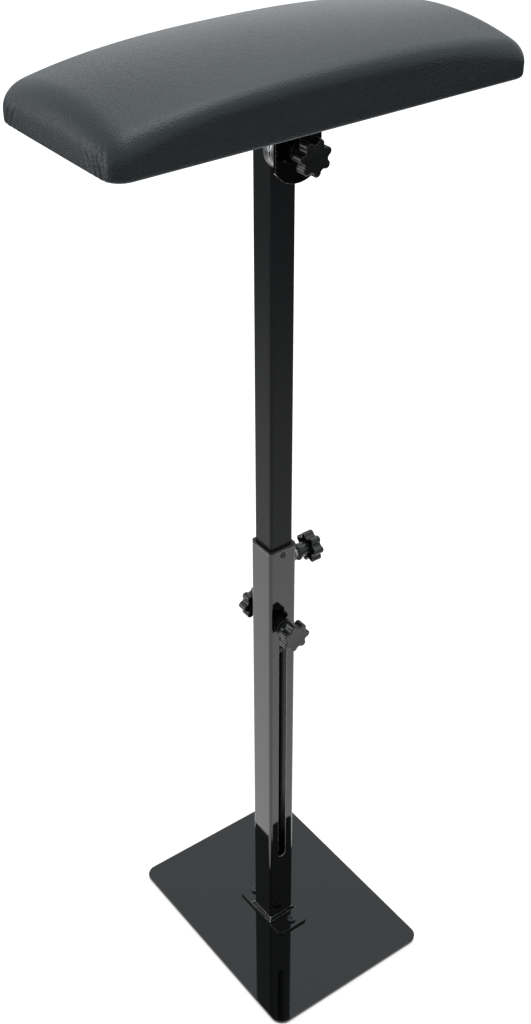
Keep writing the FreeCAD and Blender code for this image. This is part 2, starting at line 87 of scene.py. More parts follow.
def powder_coat(name, colour, mean_roughness, peel):
    """Baked powder coat: a slow orange-peel swell, and a bloom of handling that dulls it."""
    finish = new_finish(name)
    place = add_node(finish, "ShaderNodeTexCoord", {}, {}).outputs["Object"]
    # Orange peel waves are about 3 mm long, and the handling bloom patches about 35 mm.
    swell = add_node(finish, "ShaderNodeTexNoise", {}, {
        "Vector": place, "Scale": 1 / (3 * MM), "Detail": 1.5, "Roughness": 0.4,
    })
    bloom = add_node(finish, "ShaderNodeTexNoise", {}, {
        "Vector": place, "Scale": 1 / (35 * MM), "Detail": 5.0, "Roughness": 0.65,
    })
    dulling = add_node(finish, "ShaderNodeMapRange", {}, {
        "Value": bloom.outputs["Fac"], "From Min": 0.35, "From Max": 0.7,
        "To Min": mean_roughness * 0.7, "To Max": mean_roughness * 1.5,
    })
    relief = add_node(finish, "ShaderNodeBump", {}, {
        "Height": swell.outputs["Fac"], "Strength": peel, "Distance": 0.1 * MM,
    })
    return finish_surface(finish, {
        "Base Color": linear(colour),
        "Roughness": dulling.outputs["Result"],
        "Normal": relief.outputs["Normal"],
        "IOR": 1.52,
    })


def dress(node, finish, edge):
    """Gives a CAD node its finish, and breaks its sharp edges by a small round in mm."""
    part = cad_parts[node]
    part.data.materials.clear()
    part.data.materials.append(finish)
    weld = part.modifiers.new("join corners", "WELD")
    weld.merge_threshold = 0.001 * MM
    flats = part.modifiers.new("whole flats", "DECIMATE")
    flats.decimate_type = "DISSOLVE"
    flats.angle_limit = math.radians(0.4)
    rounding = part.modifiers.new("broken edges", "BEVEL")
    rounding.width = edge * MM
    rounding.segments = 2
    rounding.limit_method = "ANGLE"
    rounding.angle_limit = math.radians(32)
    evened = part.modifiers.new("even light on flats", "WEIGHTED_NORMAL")
    evened.mode = "FACE_AREA"
    return part


GLOSS_BLACK = "#08090a"
GLOSS_ROUGHNESS = 0.035
GLOSS_PEEL = 0.05

gloss_coat = powder_coat("gloss black powder coat", GLOSS_BLACK, GLOSS_ROUGHNESS, GLOSS_PEEL)
dress("base_plate", gloss_coat, 0.35)

# Rubber feet: four round moulded rubber pads, glued under the plate. They hold it from
# sliding, and keep its edge 2 mm off the floor, so that a dark line runs beneath it.
# The rubber is matt and takes no reflection.

moulded_rubber = new_finish("moulded black rubber")
rubber_place = add_node(moulded_rubber, "ShaderNodeTexCoord", {}, {}).outputs["Object"]
# The mould's grit is 0.1 mm, drawn as 0.4 mm so that it shows.
rubber_grit = add_node(moulded_rubber, "ShaderNodeTexNoise", {}, {
    "Vector": rubber_place, "Scale": 1 / (0.4 * MM), "Detail": 2.0,
})
rubber_relief = add_node(moulded_rubber, "ShaderNodeBump", {}, {
    "Height": rubber_grit.outputs["Fac"], "Strength": 0.4, "Distance": 0.05 * MM,
})
finish_surface(moulded_rubber, {
    "Base Color": linear("#161616"), "Roughness": 0.78, "Normal": rubber_relief.outputs["Normal"],
})
dress("rubber_feet", moulded_rubber, 0.3)

# Foot of the column: a small steel flange welded round the tube, and screwed to the plate.
# The weld was coated with the tube: soft ripples, and the powder runs thin on its edges.
# The two button-head screws are black oxide, oiled to a dull sheen.

weld_coat = new_finish("gloss black powder coat over weld")
weld_place = add_node(weld_coat, "ShaderNodeTexCoord", {}, {}).outputs["Object"]
# The arc's ripples are 1.6 mm apart, drawn as soft waves 6.6 mm apart so that they show.
weld_ripple = add_node(weld_coat, "ShaderNodeTexWave", {"bands_direction": "DIAGONAL"}, {
    "Vector": weld_place, "Scale": 1 / (10.5 * MM), "Distortion": 1.2, "Detail": 2.0,
})
weld_relief = add_node(weld_coat, "ShaderNodeBump", {}, {
    "Height": weld_ripple.outputs["Fac"], "Strength": 0.6, "Distance": 0.25 * MM,
})
finish_surface(weld_coat, {
    "Base Color": linear(GLOSS_BLACK), "Roughness": 0.1, "Normal": weld_relief.outputs["Normal"],
    "IOR": 1.52, "Specular IOR Level": 0.06,
})

# On an edge the melted powder runs thin, and steel glints through in flecks 2 mm long.
thin_coat = new_finish("powder coat run thin on an edge")
edge_place = add_node(thin_coat, "ShaderNodeTexCoord", {}, {}).outputs["Object"]
edge_fleck = add_node(thin_coat, "ShaderNodeTexNoise", {}, {
    "Vector": edge_place, "Scale": 1 / (2 * MM), "Detail": 3.0,
})
edge_tone = add_node(thin_coat, "ShaderNodeMixRGB", {}, {
    "Fac": edge_fleck.outputs["Fac"], "Color1": linear("#4a4b4d"), "Color2": linear("#c4c5c7"),
})
finish_surface(thin_coat, {
    "Base Color": edge_tone.outputs["Color"], "Metallic": 0.8, "Roughness": 0.3,
})


def glint_on_edges(part):
    """Gives a dressed part's rounded edges the thin coat."""
    part.data.materials.append(thin_coat)
    part.modifiers["broken edges"].material = 1


black_oxide = new_finish("black oxide on steel")
oxide_place = add_node(black_oxide, "ShaderNodeTexCoord", {}, {}).outputs["Object"]
oxide_cloud = add_node(black_oxide, "ShaderNodeTexNoise", {}, {
    "Vector": oxide_place, "Scale": 1 / (2 * MM), "Detail": 4.0,
})
oxide_tone = add_node(black_oxide, "ShaderNodeMixRGB", {}, {
    "Fac": oxide_cloud.outputs["Fac"], "Color1": linear("#2b2b2d"), "Color2": linear("#4a4a4c"),
})
oxide_wear = add_node(black_oxide, "ShaderNodeMapRange", {}, {
    "Value": oxide_cloud.outputs["Fac"], "To Min": 0.28, "To Max": 0.5,
})
finish_surface(black_oxide, {
    "Base Color": oxide_tone.outputs["Color"], "Metallic": 0.85,
    "Roughness": oxide_wear.outputs["Result"],
})

dress("foot_flange", gloss_coat, 0.35)
glint_on_edges(dress("foot_welds", weld_coat, 0.4))
dress("flange_screws", black_oxide, 0.45)

# Outer tube: 30 mm square steel tube, 1.5 mm wall, with a long slot milled front and rear.
# It has the same gloss coat as the plate, mirrors the knobs and the floor, and glints on
# its edges. Little powder reaches the bore, so the coat stays dull in there.

BORE_HALF = 13.6
BORE_DULLING = 0.2
BORE_LOST_SHINE = -0.4

tube_coat = powder_coat(
    "gloss black powder coat, dull in the bore", GLOSS_BLACK, GLOSS_ROUGHNESS, GLOSS_PEEL
)
tube_place = add_node(tube_coat, "ShaderNodeTexCoord", {}, {}).outputs["Object"]
tube_away = add_node(tube_coat, "ShaderNodeVectorMath", {"operation": "ABSOLUTE"}, {
    0: tube_place,
})
tube_parts = add_node(tube_coat, "ShaderNodeSeparateXYZ", {}, {
    "Vector": tube_away.outputs["Vector"],
})
tube_reach = add_node(tube_coat, "ShaderNodeMath", {"operation": "MAXIMUM"}, {
    0: tube_parts.outputs["X"], 1: tube_parts.outputs["Y"],
})
in_bore = add_node(tube_coat, "ShaderNodeMath", {"operation": "LESS_THAN"}, {
    0: tube_reach.outputs["Value"], 1: BORE_HALF * MM,
})
tube_shader = tube_coat.node_tree.nodes["Principled BSDF"]
bore_gloss = add_node(tube_coat, "ShaderNodeMath", {"operation": "MULTIPLY_ADD"}, {
    0: in_bore.outputs["Value"], 1: BORE_DULLING,
    2: tube_shader.inputs["Roughness"].links[0].from_socket,
})
tube_coat.node_tree.links.new(bore_gloss.outputs["Value"], tube_shader.inputs["Roughness"])
bore_shine = add_node(tube_coat, "ShaderNodeMath", {"operation": "MULTIPLY_ADD"}, {
    0: in_bore.outputs["Value"], 1: BORE_LOST_SHINE, 2: 0.5,
})
tube_coat.node_tree.links.new(
    bore_shine.outputs["Value"], tube_shader.inputs["Specular IOR Level"]
)
glint_on_edges(dress("outer_tube", tube_coat, 0.25))

# Guide collar: a thin sleeve moulded in black polypropylene, snapped into the tube's mouth.
# Its lip covers the sawn edge, and two round bosses hold it through the walls.
# The bare plastic is duller than the coat round it.

moulded_collar = new_finish("moulded black polypropylene")
collar_place = add_node(moulded_collar, "ShaderNodeTexCoord", {}, {}).outputs["Object"]
collar_cloud = add_node(moulded_collar, "ShaderNodeTexNoise", {}, {
    "Vector": collar_place, "Scale": 1 / (6 * MM), "Detail": 4.0,
})
collar_gloss = add_node(moulded_collar, "ShaderNodeMapRange", {}, {
    "Value": collar_cloud.outputs["Fac"], "To Min": 0.3, "To Max": 0.5,
})
finish_surface(moulded_collar, {
    "Base Color": linear("#121314"), "Roughness": collar_gloss.outputs["Result"], "IOR": 1.49,
    "Specular IOR Level": 0.22,
})
dress("tube_collar", moulded_collar, 0.3)

# Clamp nut: a hexagon steel nut, welded to the tube's right side before coating.
# It has the tube's gloss coat, and the clamp knob's stud runs in it.

dress("clamp_nut", gloss_coat, 0.4)

# Mast: 25 mm square steel tube that slides in the collar, in a semi-gloss black coat.
# The collar has rubbed faint upright streaks into it, and its edges glint.

sliding_coat = new_finish("semi-gloss black powder coat, rubbed")
mast_place = add_node(sliding_coat, "ShaderNodeTexCoord", {}, {}).outputs["Object"]
# Rub marks are 0.8 mm wide and 60 mm long.
rub_stretch = add_node(sliding_coat, "ShaderNodeMapping", {"vector_type": "POINT"}, {
    "Vector": mast_place, "Scale": (1 / (0.8 * MM), 1 / (0.8 * MM), 1 / (60 * MM)),
})
rub_marks = add_node(sliding_coat, "ShaderNodeTexNoise", {}, {
    "Vector": rub_stretch.outputs["Vector"], "Scale": 1.0, "Detail": 2.0,
})
rub_gloss = add_node(sliding_coat, "ShaderNodeMapRange", {}, {
    "Value": rub_marks.outputs["Fac"], "From Min": 0.3, "From Max": 0.7,
    "To Min": 0.2, "To Max": 0.24,
})
mast_swell = add_node(sliding_coat, "ShaderNodeTexNoise", {}, {
    "Vector": mast_place, "Scale": 1 / (1.2 * MM), "Detail": 2.0,
})
mast_relief = add_node(sliding_coat, "ShaderNodeBump", {}, {
    "Height": mast_swell.outputs["Fac"], "Strength": 0.15, "Distance": 0.05 * MM,
})
finish_surface(sliding_coat, {
    "Base Color": linear("#292a2b"), "Roughness": rub_gloss.outputs["Result"],
    "Normal": mast_relief.outputs["Normal"], "IOR": 1.45, "Specular IOR Level": 0.09,
})
glint_on_edges(dress("inner_tube", sliding_coat, 0.2))

# Mast plugs: the glide at the lower end and the cap at the upper end, both moulded.
# The glide keeps the mast centred in the tube, and the cap closes it above the joint.

dress("mast_glide", moulded_collar, 0.3)
dress("mast_end_cap", moulded_collar, 0.5)

# Cross block: a short piece of zinc-plated steel bar inside the mast, tapped right through.
# The studs of the front and rear knobs screw into it and clamp the mast to the tube.

zinc_plate = new_finish("bright zinc plate on steel")
zinc_place = add_node(zinc_plate, "ShaderNodeTexCoord", {}, {}).outputs["Object"]
# It shines a cold grey. Its spangle and its faint warm tint change over about 1.5 mm.
zinc_cloud = add_node(zinc_plate, "ShaderNodeTexNoise", {}, {
    "Vector": zinc_place, "Scale": 1 / (1.5 * MM), "Detail": 5.0, "Roughness": 0.6,
})
zinc_tint = add_node(zinc_plate, "ShaderNodeMixRGB", {}, {
    "Fac": zinc_cloud.outputs["Fac"], "Color1": linear("#b9bcc2"), "Color2": linear("#d6d4c8"),
})
zinc_gloss = add_node(zinc_plate, "ShaderNodeMapRange", {}, {
    "Value": zinc_cloud.outputs["Fac"], "To Min": 0.2, "To Max": 0.38,
})
finish_surface(zinc_plate, {
    "Base Color": zinc_tint.outputs["Color"], "Metallic": 1.0,
    "Roughness": zinc_gloss.outputs["Result"],
})
dress("threaded_cross_block", zinc_plate, 0.3)

# Tilt joint: two steel discs with radial teeth on their facing sides, one riveted to the mast
# and one to the bracket, and a zinc-plated bolt through both. The discs have a thin satin
# black paint, and it has rubbed off the teeth and the rims beside them.

TEETH_PLANE = -20.5

rubbed_paint = new_finish("satin black paint, rubbed bright at the teeth")
disc_place = add_node(rubbed_paint, "ShaderNodeTexCoord", {}, {}).outputs["Object"]
disc_parts = add_node(rubbed_paint, "ShaderNodeSeparateXYZ", {}, {"Vector": disc_place})
# The teeth meet in a band 1.3 mm deep about the joint's middle plane, and the bright
# rubbing runs on over the rims beside it.
disc_depth = add_node(rubbed_paint, "ShaderNodeMath", {"operation": "SUBTRACT"}, {
    0: disc_parts.outputs["Y"], 1: TEETH_PLANE * MM,
})
disc_away = add_node(rubbed_paint, "ShaderNodeMath", {"operation": "ABSOLUTE"}, {
    0: disc_depth.outputs["Value"],
})
disc_scuff = add_node(rubbed_paint, "ShaderNodeTexNoise", {}, {
    "Vector": disc_place, "Scale": 1 / (0.9 * MM), "Detail": 4.0,
})
disc_band = add_node(rubbed_paint, "ShaderNodeMapRange", {}, {
    "Value": disc_away.outputs["Value"], "From Min": 0.6 * MM, "From Max": 2.6 * MM,
    "To Min": 1.0, "To Max": 0.0,
})
disc_bright = add_node(rubbed_paint, "ShaderNodeMath", {"operation": "MULTIPLY_ADD"}, {
    0: disc_scuff.outputs["Fac"], 1: 0.35, 2: disc_band.outputs["Result"],
})
disc_tone = add_node(rubbed_paint, "ShaderNodeMixRGB", {}, {
    "Fac": disc_bright.outputs["Value"], "Color1": linear("#2c2d2f"), "Color2": linear("#c6c7c9"),
})
disc_gloss = add_node(rubbed_paint, "ShaderNodeMapRange", {}, {
    "Value": disc_bright.outputs["Value"], "To Min": 0.42, "To Max": 0.24,
})
finish_surface(rubbed_paint, {
    "Base Color": disc_tone.outputs["Color"], "Metallic": 1.0,
    "Roughness": disc_gloss.outputs["Result"],
})
dress("fixed_toothed_disc", rubbed_paint, 0.12)
dress("moving_toothed_disc", rubbed_paint, 0.12)
dress("tilt_bolt", zinc_plate, 0.4)

# Bracket: 3 mm steel plate, cut with a round toe about the tilt bolt and bent back
# under the pad. It has the gloss coat, which runs thin on the cut edges, so they glint.

glint_on_edges(dress("tilt_bracket", gloss_coat, 0.45))

# Pad board: 9 mm plywood, sawn to the pad's outline. Its face shows in the middle
# of the underside, stained black, with open straight grain along the pad.

stained_plywood = new_finish("black-stained plywood")
board_place = add_node(stained_plywood, "ShaderNodeTexCoord", {}, {}).outputs["Object"]
# Grain lines are 1.5 mm apart and run on for 150 mm.
grain_stretch = add_node(stained_plywood, "ShaderNodeMapping", {"vector_type": "POINT"}, {
    "Vector": board_place, "Scale": (1 / (150 * MM), 1 / (1.5 * MM), 1 / (1.5 * MM)),
})
grain_lines = add_node(stained_plywood, "ShaderNodeTexNoise", {}, {
    "Vector": grain_stretch.outputs["Vector"], "Scale": 1.0, "Detail": 6.0, "Roughness": 0.6,
    "Distortion": 0.6,
})
grain_tone = add_node(stained_plywood, "ShaderNodeMixRGB", {}, {
    "Fac": grain_lines.outputs["Fac"], "Color1": linear("#15120f"), "Color2": linear("#39322b"),
})
grain_relief = add_node(stained_plywood, "ShaderNodeBump", {}, {
    "Height": grain_lines.outputs["Fac"], "Strength": 0.5, "Distance": 0.1 * MM,
})
finish_surface(stained_plywood, {
    "Base Color": grain_tone.outputs["Color"], "Roughness": 0.68,
    "Normal": grain_relief.outputs["Normal"],
})
dress("pad_board", stained_plywood, 0.3)

# Wood screws and staples: four zinc-plated screws hold the bracket to the board,
# and a row of bright wire staples holds the turned-in edge of the cover.

dress("pad_screws", zinc_plate, 0.4)
dress("cover_staples", zinc_plate, 0.12)

# Pad: foam on the board under one sheet of artificial leather, crowned across and arched
# along its length. The sheet is pulled round the edge and stapled underneath, with no seam;
# its spare length at each corner is gathered in small folds on the end face.

# Sizes are in mm. The corner, arch and end are the radii of the outline's corners, the long
# curve and the round ends. The skirt is the upright side under the crown.
PAD_LENGTH = 386
PAD_WIDTH = 162
PAD_CORNER = 15
PAD_HEIGHT = 52
PAD_ARCH = 1323
PAD_END = 24
PAD_SKIRT_MIDDLE = 32
PAD_SKIRT_END = 10
PAD_CROWN_SHARE = 0.32
PAD_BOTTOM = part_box("pad_cover")[0].z / MM
PAD_EDGE_ROUND = 2.4
COVER_THICK = 1.2
COVER_RIM = 20
RIM_SHARES = (1, 0.7, 0.4, 0.21)
SKIRT_SHARES = (0, 0.16, 0.32, 0.48, 0.64, 0.82)
LONG_STEPS = 80
LONG_GATHER = 0.45
END_STEPS = 36
END_GATHER = 0.55
TURN_STEPS = 8
TOP_RING_INSET = PAD_END + 3


def pad_middle_height(x):
    """Height of the pad's middle line: the long arch, then the round end."""
    end_centre = PAD_LENGTH / 2 - PAD_END
    slope = math.asin(end_centre / (PAD_ARCH + PAD_END))
    join = end_centre + PAD_END * math.sin(slope)
    if abs(x) <= join:
        return PAD_HEIGHT - PAD_ARCH + math.sqrt(PAD_ARCH ** 2 - x * x)
    join_height = PAD_HEIGHT - PAD_ARCH + math.sqrt(PAD_ARCH ** 2 - join * join)
    past = min(abs(x) - end_centre, PAD_END)
    return join_height - PAD_END * math.cos(slope) + math.sqrt(PAD_END ** 2 - past ** 2)


def pad_top(x, y):
    """Height of the pad's surface above its underside, at a place in plan."""
    x = min(abs(x), PAD_LENGTH / 2)
    past = max(x - PAD_LENGTH / 2 + PAD_CORNER, 0)
    half = PAD_WIDTH / 2 - PAD_CORNER + math.sqrt(max(PAD_CORNER ** 2 - past ** 2, 0))
    share = x / (PAD_LENGTH / 2)
    skirt = PAD_SKIRT_END + (PAD_SKIRT_MIDDLE - PAD_SKIRT_END) * (1 - share ** 3)
    rise = pad_middle_height(x) - skirt
    shoulder = rise * (1 - PAD_CROWN_SHARE)
    middle = half - shoulder
    crown = (middle ** 2 + rise ** 2 - shoulder ** 2) / (2 * (rise - shoulder))
    lean = math.atan2(crown - rise, middle)
    y = min(abs(y), half)
    if y <= middle + shoulder * math.cos(lean):
        return skirt + rise - crown + math.sqrt(crown ** 2 - y * y)
    return skirt + math.sqrt(max(shoulder ** 2 - (y - middle) ** 2, 0))


def side_places(count, gather):
    """Places from -1 to 1 along one side, closer together towards its ends."""
    places = []
    for step in range(count):
        even = 2 * step / count - 1
        places.append(even + gather * math.sin(math.pi * even) / math.pi)
    return places


def plan_ring(inset):
    """One closed ring of the pad in plan, counter-clockwise, as far in as the inset."""
    corner = PAD_CORNER * (1 - inset / (PAD_WIDTH / 2))
    half_x = PAD_LENGTH / 2 - inset
    half_y = PAD_WIDTH / 2 - inset
    straight_x = half_x - corner
    straight_y = half_y - corner
    ring = []

    def turn(centre_x, centre_y, start):
        for step in range(TURN_STEPS):
            angle = math.radians(start + 90 * step / TURN_STEPS)
            ring.append((centre_x + corner * math.cos(angle), centre_y + corner * math.sin(angle)))

    for place in side_places(END_STEPS, END_GATHER):
        ring.append((half_x, place * straight_y))
    turn(straight_x, straight_y, 0)
    for place in side_places(LONG_STEPS, LONG_GATHER):
        ring.append((-place * straight_x, half_y))
    turn(-straight_x, straight_y, 90)
    for place in side_places(END_STEPS, END_GATHER):
        ring.append((-half_x, -place * straight_y))
    turn(-straight_x, -straight_y, 180)
    for place in side_places(LONG_STEPS, LONG_GATHER):
        ring.append((place * straight_x, -half_y))
    turn(straight_x, -straight_y, 270)
    return ring


def pad_rings():
    """Rings from the cover's stapled edge, out round the rim, up the skirt and over the top."""
    rings = [[(x, y, COVER_THICK) for x, y in plan_ring(COVER_RIM)]]
    for share in RIM_SHARES:
        rings.append([(x, y, 0) for x, y in plan_ring(COVER_RIM * share)])
    edge = PAD_EDGE_ROUND
    for turn in (0, 30, 60):
        inset = edge * (1 - math.sin(math.radians(turn)))
        height = edge * (1 - math.cos(math.radians(turn)))
        rings.append([(x, y, height) for x, y in plan_ring(inset)])
    outline = plan_ring(0)
    for share in SKIRT_SHARES:
        rings.append([(x, y, edge + share * (pad_top(x, y) - edge)) for x, y in outline])
    for turn in range(0, 91, 9):
        inset = PAD_END * (1 - math.cos(math.radians(turn)))
        rings.append([(x, y, pad_top(x, y)) for x, y in plan_ring(inset)])
    rings.append([(x, y, pad_top(x, y)) for x, y in plan_ring(TOP_RING_INSET)])
    return rings


def crown_grid(ring):
    """An even grid over the top inside the last ring, as rows from left to right."""
    whole = len(ring)
    across = END_STEPS + TURN_STEPS
    along = LONG_STEPS + TURN_STEPS
    first = 2 * across + along - TURN_STEPS // 2
    bottom = [ring[(first + step) % whole] for step in range(along + 1)]
    right = [ring[(first + along + step) % whole] for step in range(across + 1)]
    top = [ring[(first - across - step) % whole] for step in range(along + 1)]
    left = [ring[(first - step) % whole] for step in range(across + 1)]
    rows = []
    for row in range(1, across):
        v = row / across
        places = []
        for column in range(1, along):
            u = column / along
            place = []
            for axis in (0, 1):
                edges = (1 - v) * bottom[column][axis] + v * top[column][axis]
                sides = (1 - u) * left[row][axis] + u * right[row][axis]
                low = (1 - u) * bottom[0][axis] + u * bottom[-1][axis]
                high = (1 - u) * top[0][axis] + u * top[-1][axis]
                place.append(edges + sides - (1 - v) * low - v * high)
            places.append((place[0], place[1], pad_top(place[0], place[1])))
        rows.append(places)
    return rows, first


# The cover starts smaller by the slack, which grows in between 12 and 26 mm up.
SLACK = 0.6
SLACK_FROM = 12
SLACK_RISE = 14
SLACK_DROP_SHARE = 0.9


def pad_form():
    """The pad as one mesh, drawn in by the slack that the pressure gives back."""
    form = bmesh.new()

    def corner(x, y, height):
        inward = SLACK * min(max((height - SLACK_FROM) / SLACK_RISE, 0), 1)
        return form.verts.new((
            x * (1 - inward / (PAD_LENGTH / 2)) * MM,
            y * (1 - inward / (PAD_WIDTH / 2)) * MM,
            (PAD_BOTTOM + height - inward * SLACK_DROP_SHARE) * MM,
        ))

    rings = pad_rings()
    previous = None
    for ring in rings:
        corners = [corner(x, y, height) for x, y, height in ring]
        if previous:
            for index in range(len(corners)):
                following = (index + 1) % len(corners)
                form.faces.new((
                    previous[index], previous[following], corners[following], corners[index],
                ))
        previous = corners
    rows, first = crown_grid(rings[-1])
    whole = len(previous)
    along = LONG_STEPS + TURN_STEPS
    across = END_STEPS + TURN_STEPS
    grid = [[previous[(first + step) % whole] for step in range(along + 1)]]
    for count, row in enumerate(rows, 1):
        middle = [corner(x, y, height) for x, y, height in row]
        near = previous[(first - count) % whole]
        far = previous[(first + along + count) % whole]
        grid.append([near] + middle + [far])
    grid.append([previous[(first - across - step) % whole] for step in range(along + 1)])
    for low, high in zip(grid, grid[1:]):
        for column in range(along):
            form.faces.new((low[column], low[column + 1], high[column + 1], high[column]))
    bmesh.ops.recalc_face_normals(form, faces=form.faces)
    mesh = bpy.data.meshes.new("pad")
    form.to_mesh(mesh)
    form.free()
    return mesh


def settled_mesh(piece):
    """The piece's mesh with its modifiers applied."""
    graph = bpy.context.evaluated_depsgraph_get()
    return bpy.data.meshes.new_from_object(piece.evaluated_get(graph))


CLOTH_STIFFNESS = 80
CLOTH_PRESSURE = 4
CLOTH_STEPS = 20
CLOTH_TRAVEL = 5


def inflate(piece, held, limit):
    """Blows the cover up with cloth pressure over even foam, and limits how far it travels."""
    group = piece.vertex_groups.new(name="stapled")
    group.add(held, 1.0, "REPLACE")
    start = [vertex.co.copy() for vertex in piece.data.vertices]
    cloth = piece.modifiers.new("stuffed", "CLOTH")
    cloth.settings.quality = 5
    cloth.settings.mass = 0.4
    cloth.settings.tension_stiffness = CLOTH_STIFFNESS
    cloth.settings.compression_stiffness = CLOTH_STIFFNESS
    cloth.settings.shear_stiffness = CLOTH_STIFFNESS
    cloth.settings.bending_stiffness = 20
    cloth.settings.use_pressure = True
    cloth.settings.uniform_pressure_force = CLOTH_PRESSURE
    cloth.settings.vertex_group_mass = "stapled"
    cloth.settings.effector_weights.gravity = 0
    cloth.point_cache.frame_end = CLOTH_STEPS
    foam = piece.modifiers.new("foam evens the folds", "CORRECTIVE_SMOOTH")
    foam.factor = 0.5
    foam.iterations = 60
    for step in range(1, CLOTH_STEPS + 1):
        bpy.context.scene.frame_set(step)
    swollen = settled_mesh(piece)
    for vertex, before in zip(swollen.vertices, start):
        travel = vertex.co - before
        if travel.length > limit:
            vertex.co = before + travel * (limit / travel.length)
    piece.modifiers.clear()
    piece.data = swollen
    bpy.context.scene.frame_set(1)


# The folds lie from 9 to 40 mm from each corner, and lean away from it as they rise.
FOLD_DEPTH = 2.4
FOLD_SPACING = 7
FOLD_SHARPNESS = 1.6
FOLD_LEAN = 0.4
FOLD_WANDER = 1.2
FOLDS_START = 9
FOLDS_START_FADE = 4
FOLDS_END = 40
FOLDS_END_FADE = 14
FOLDS_TOP = 24
FOLDS_BOTTOM_FADE = 2.5
END_FACE_DEPTH = 26
END_FACE_FADE = 8


def fold_depth(x, y, height):
    """Depth in mm of the gathered folds, on the end faces beside each corner."""
    along = PAD_WIDTH / 2 - abs(y)
    outer = abs(x) - (PAD_LENGTH / 2 - END_FACE_DEPTH)
    if outer < 0 or along > FOLDS_END:
        return 0.0
    fade_in = min(max((along - FOLDS_START) / FOLDS_START_FADE, 0), 1)
    fade_out = min((FOLDS_END - along) / FOLDS_END_FADE, 1)
    fade_deep = min(outer / END_FACE_FADE, 1)
    upward = min(height / FOLDS_BOTTOM_FADE, 1) * max(1 - (height / FOLDS_TOP) ** 2, 0)
    # One noise bends the folds slowly, and the other makes some deeper than others.
    drift = FOLD_WANDER * noise.noise(Vector((x * 0.02, y * 0.05, height * 0.02)))
    lean = along - height * FOLD_LEAN + drift
    crease = (1 - abs(math.sin(math.pi * lean / FOLD_SPACING))) ** FOLD_SHARPNESS
    strength = 0.85 + 0.3 * noise.noise(Vector((y * 0.11, 7.3, x * 0.01)))
    return FOLD_DEPTH * fade_in * fade_out * upward * strength * crease * fade_deep


soft_leather = new_finish("grained artificial leather")
leather_place = add_node(soft_leather, "ShaderNodeTexCoord", {}, {}).outputs["Object"]
# The embossed pebbles are 0.8 mm wide, drawn as 1.3 mm so that they show.
pebbles = add_node(soft_leather, "ShaderNodeTexVoronoi", {"feature": "SMOOTH_F1"}, {
    "Vector": leather_place, "Scale": 1 / (1.3 * MM), "Smoothness": 0.6, "Randomness": 0.9,
})
wrinkle = add_node(soft_leather, "ShaderNodeTexNoise", {}, {
    "Vector": leather_place, "Scale": 1 / (9 * MM), "Detail": 3.0, "Roughness": 0.5,
})
leather_height = add_node(soft_leather, "ShaderNodeMath", {"operation": "MULTIPLY_ADD"}, {
    0: wrinkle.outputs["Fac"], 1: 0.6, 2: pebbles.outputs["Distance"],
})
leather_relief = add_node(soft_leather, "ShaderNodeBump", {}, {
    "Height": leather_height.outputs["Value"], "Strength": 0.9, "Distance": 0.32 * MM,
})
# The hollows between the pebbles are duller and a shade lighter, so the sheen is broken.
leather_tone = add_node(soft_leather, "ShaderNodeMixRGB", {}, {
    "Fac": pebbles.outputs["Distance"], "Color1": linear("#141819"), "Color2": linear("#1f2527"),
})
leather_gloss = add_node(soft_leather, "ShaderNodeMapRange", {}, {
    "Value": pebbles.outputs["Distance"], "From Max": 0.8, "To Min": 0.36, "To Max": 0.5,
})
finish_surface(soft_leather, {
    "Base Color": leather_tone.outputs["Color"], "Roughness": leather_gloss.outputs["Result"],
    "Normal": leather_relief.outputs["Normal"], "IOR": 1.5, "Specular IOR Level": 0.42,
    "Specular Tint": (0.86, 0.94, 1.0, 1.0),
})

pad = bpy.data.objects.new("pad", pad_form())
bpy.context.scene.collection.objects.link(pad)
stapled_below = (PAD_BOTTOM + COVER_THICK + 0.1) * MM
held = [vertex.index for vertex in pad.data.vertices if vertex.co.z < stapled_below]
inflate(pad, held, CLOTH_TRAVEL * MM)
finer = pad.modifiers.new("finer", "SUBSURF")
finer.levels = 1
pad.data = settled_mesh(pad)
pad.modifiers.clear()
outward = [vertex.normal.copy() for vertex in pad.data.vertices]
for vertex, normal in zip(pad.data.vertices, outward):
    x, y, height = vertex.co.x / MM, vertex.co.y / MM, vertex.co.z / MM - PAD_BOTTOM
    vertex.co -= normal * fold_depth(x, y, height) * MM
pad.data.shade_smooth()
pad.data.materials.clear()
pad.data.materials.append(soft_leather)
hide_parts("pad_cover", "pad_foam")
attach(pad, "tilt_head")

# Star knobs: four alike, moulded in one shot of black glass-filled nylon. Each is a head
# with seven lobes, hollow at the back to keep its wall even, on a round boss.
# The mould's edges are rounded, and its spark-eroded skin gives a fine satin.

# Heights are in mm along the knob's axis, from the inner face of its washer.
KNOB_RADIUS = 15.2
LOBE_RADIUS = 3.6
VALLEY_RADIUS = 11.6
LOBES = 7
KNOB_STEPS = 28 * LOBES
KNOB_FACE = 22.0
KNOB_BACK = 12.0
KNOB_WALL = 1.8
FACE_DISH = 0.25
FACE_ROUND = 1.0
BACK_ROUND = 0.5
LIP_ROUND = 0.4
HOLLOW_END = 19.8
BOSS_RADIUS = 7.0
BOSS_END = 2.0
BOSS_ROUND = 0.6
STUD_HOLE_RADIUS = 4.05
STUD_HOLE_END = 6.0
STUD_HOLE_CHAMFER = 0.3


